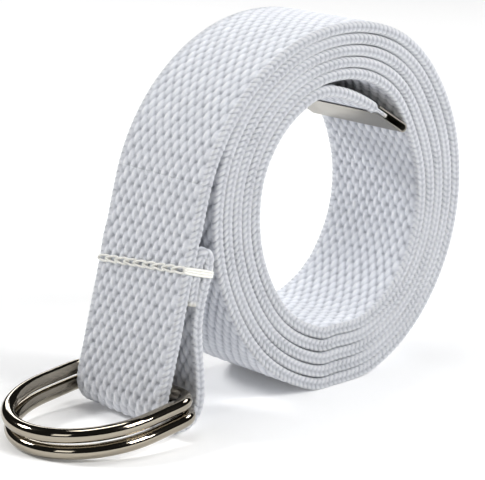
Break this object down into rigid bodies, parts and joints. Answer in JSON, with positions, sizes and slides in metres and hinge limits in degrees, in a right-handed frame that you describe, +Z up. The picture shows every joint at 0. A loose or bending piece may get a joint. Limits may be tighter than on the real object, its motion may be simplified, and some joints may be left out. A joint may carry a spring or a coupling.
{
  "type": "double ring belt",
  "caption": "Webbing belt rolled into a coil standing on its edge wrap, with a clipped free end inside and two D-rings held in the sewn loop at its other end.",
  "frame": {"origin": "on the floor, under the middle of the whole belt as it rests", "axes": "+X from the D-rings towards the coil, +Y along the coil's axis away from the viewer, +Z up"},
  "size_m": [0.1316, 0.0426, 0.0912],
  "materials": {
    "webbing": "thick coarse-woven cotton webbing, cool white",
    "nickel": "polished nickel plate, slightly warm"
  },
  "bodies": {
    "belt": {"strap": "webbing", "end_clip": "nickel"},
    "lower_ring": {"lower_d_ring": "nickel"},
    "upper_ring": {"upper_d_ring": "nickel"}
  },
  "joints": [
    {"name": "lower_ring_swing", "type": "hinge", "parent": "belt", "child": "lower_ring", "pos_m": [-0.02875, 0.00052, 0.00526], "axis": [-0.061, 0.9981, 0], "range_deg": [0, 30]},
    {"name": "upper_ring_swing", "type": "hinge", "parent": "lower_ring", "child": "upper_ring", "pos_m": [-0.02934, 0.00052, 0.00922], "axis": [-0.0436, 0.999, 0], "range_deg": [0, 55]}
  ]
}
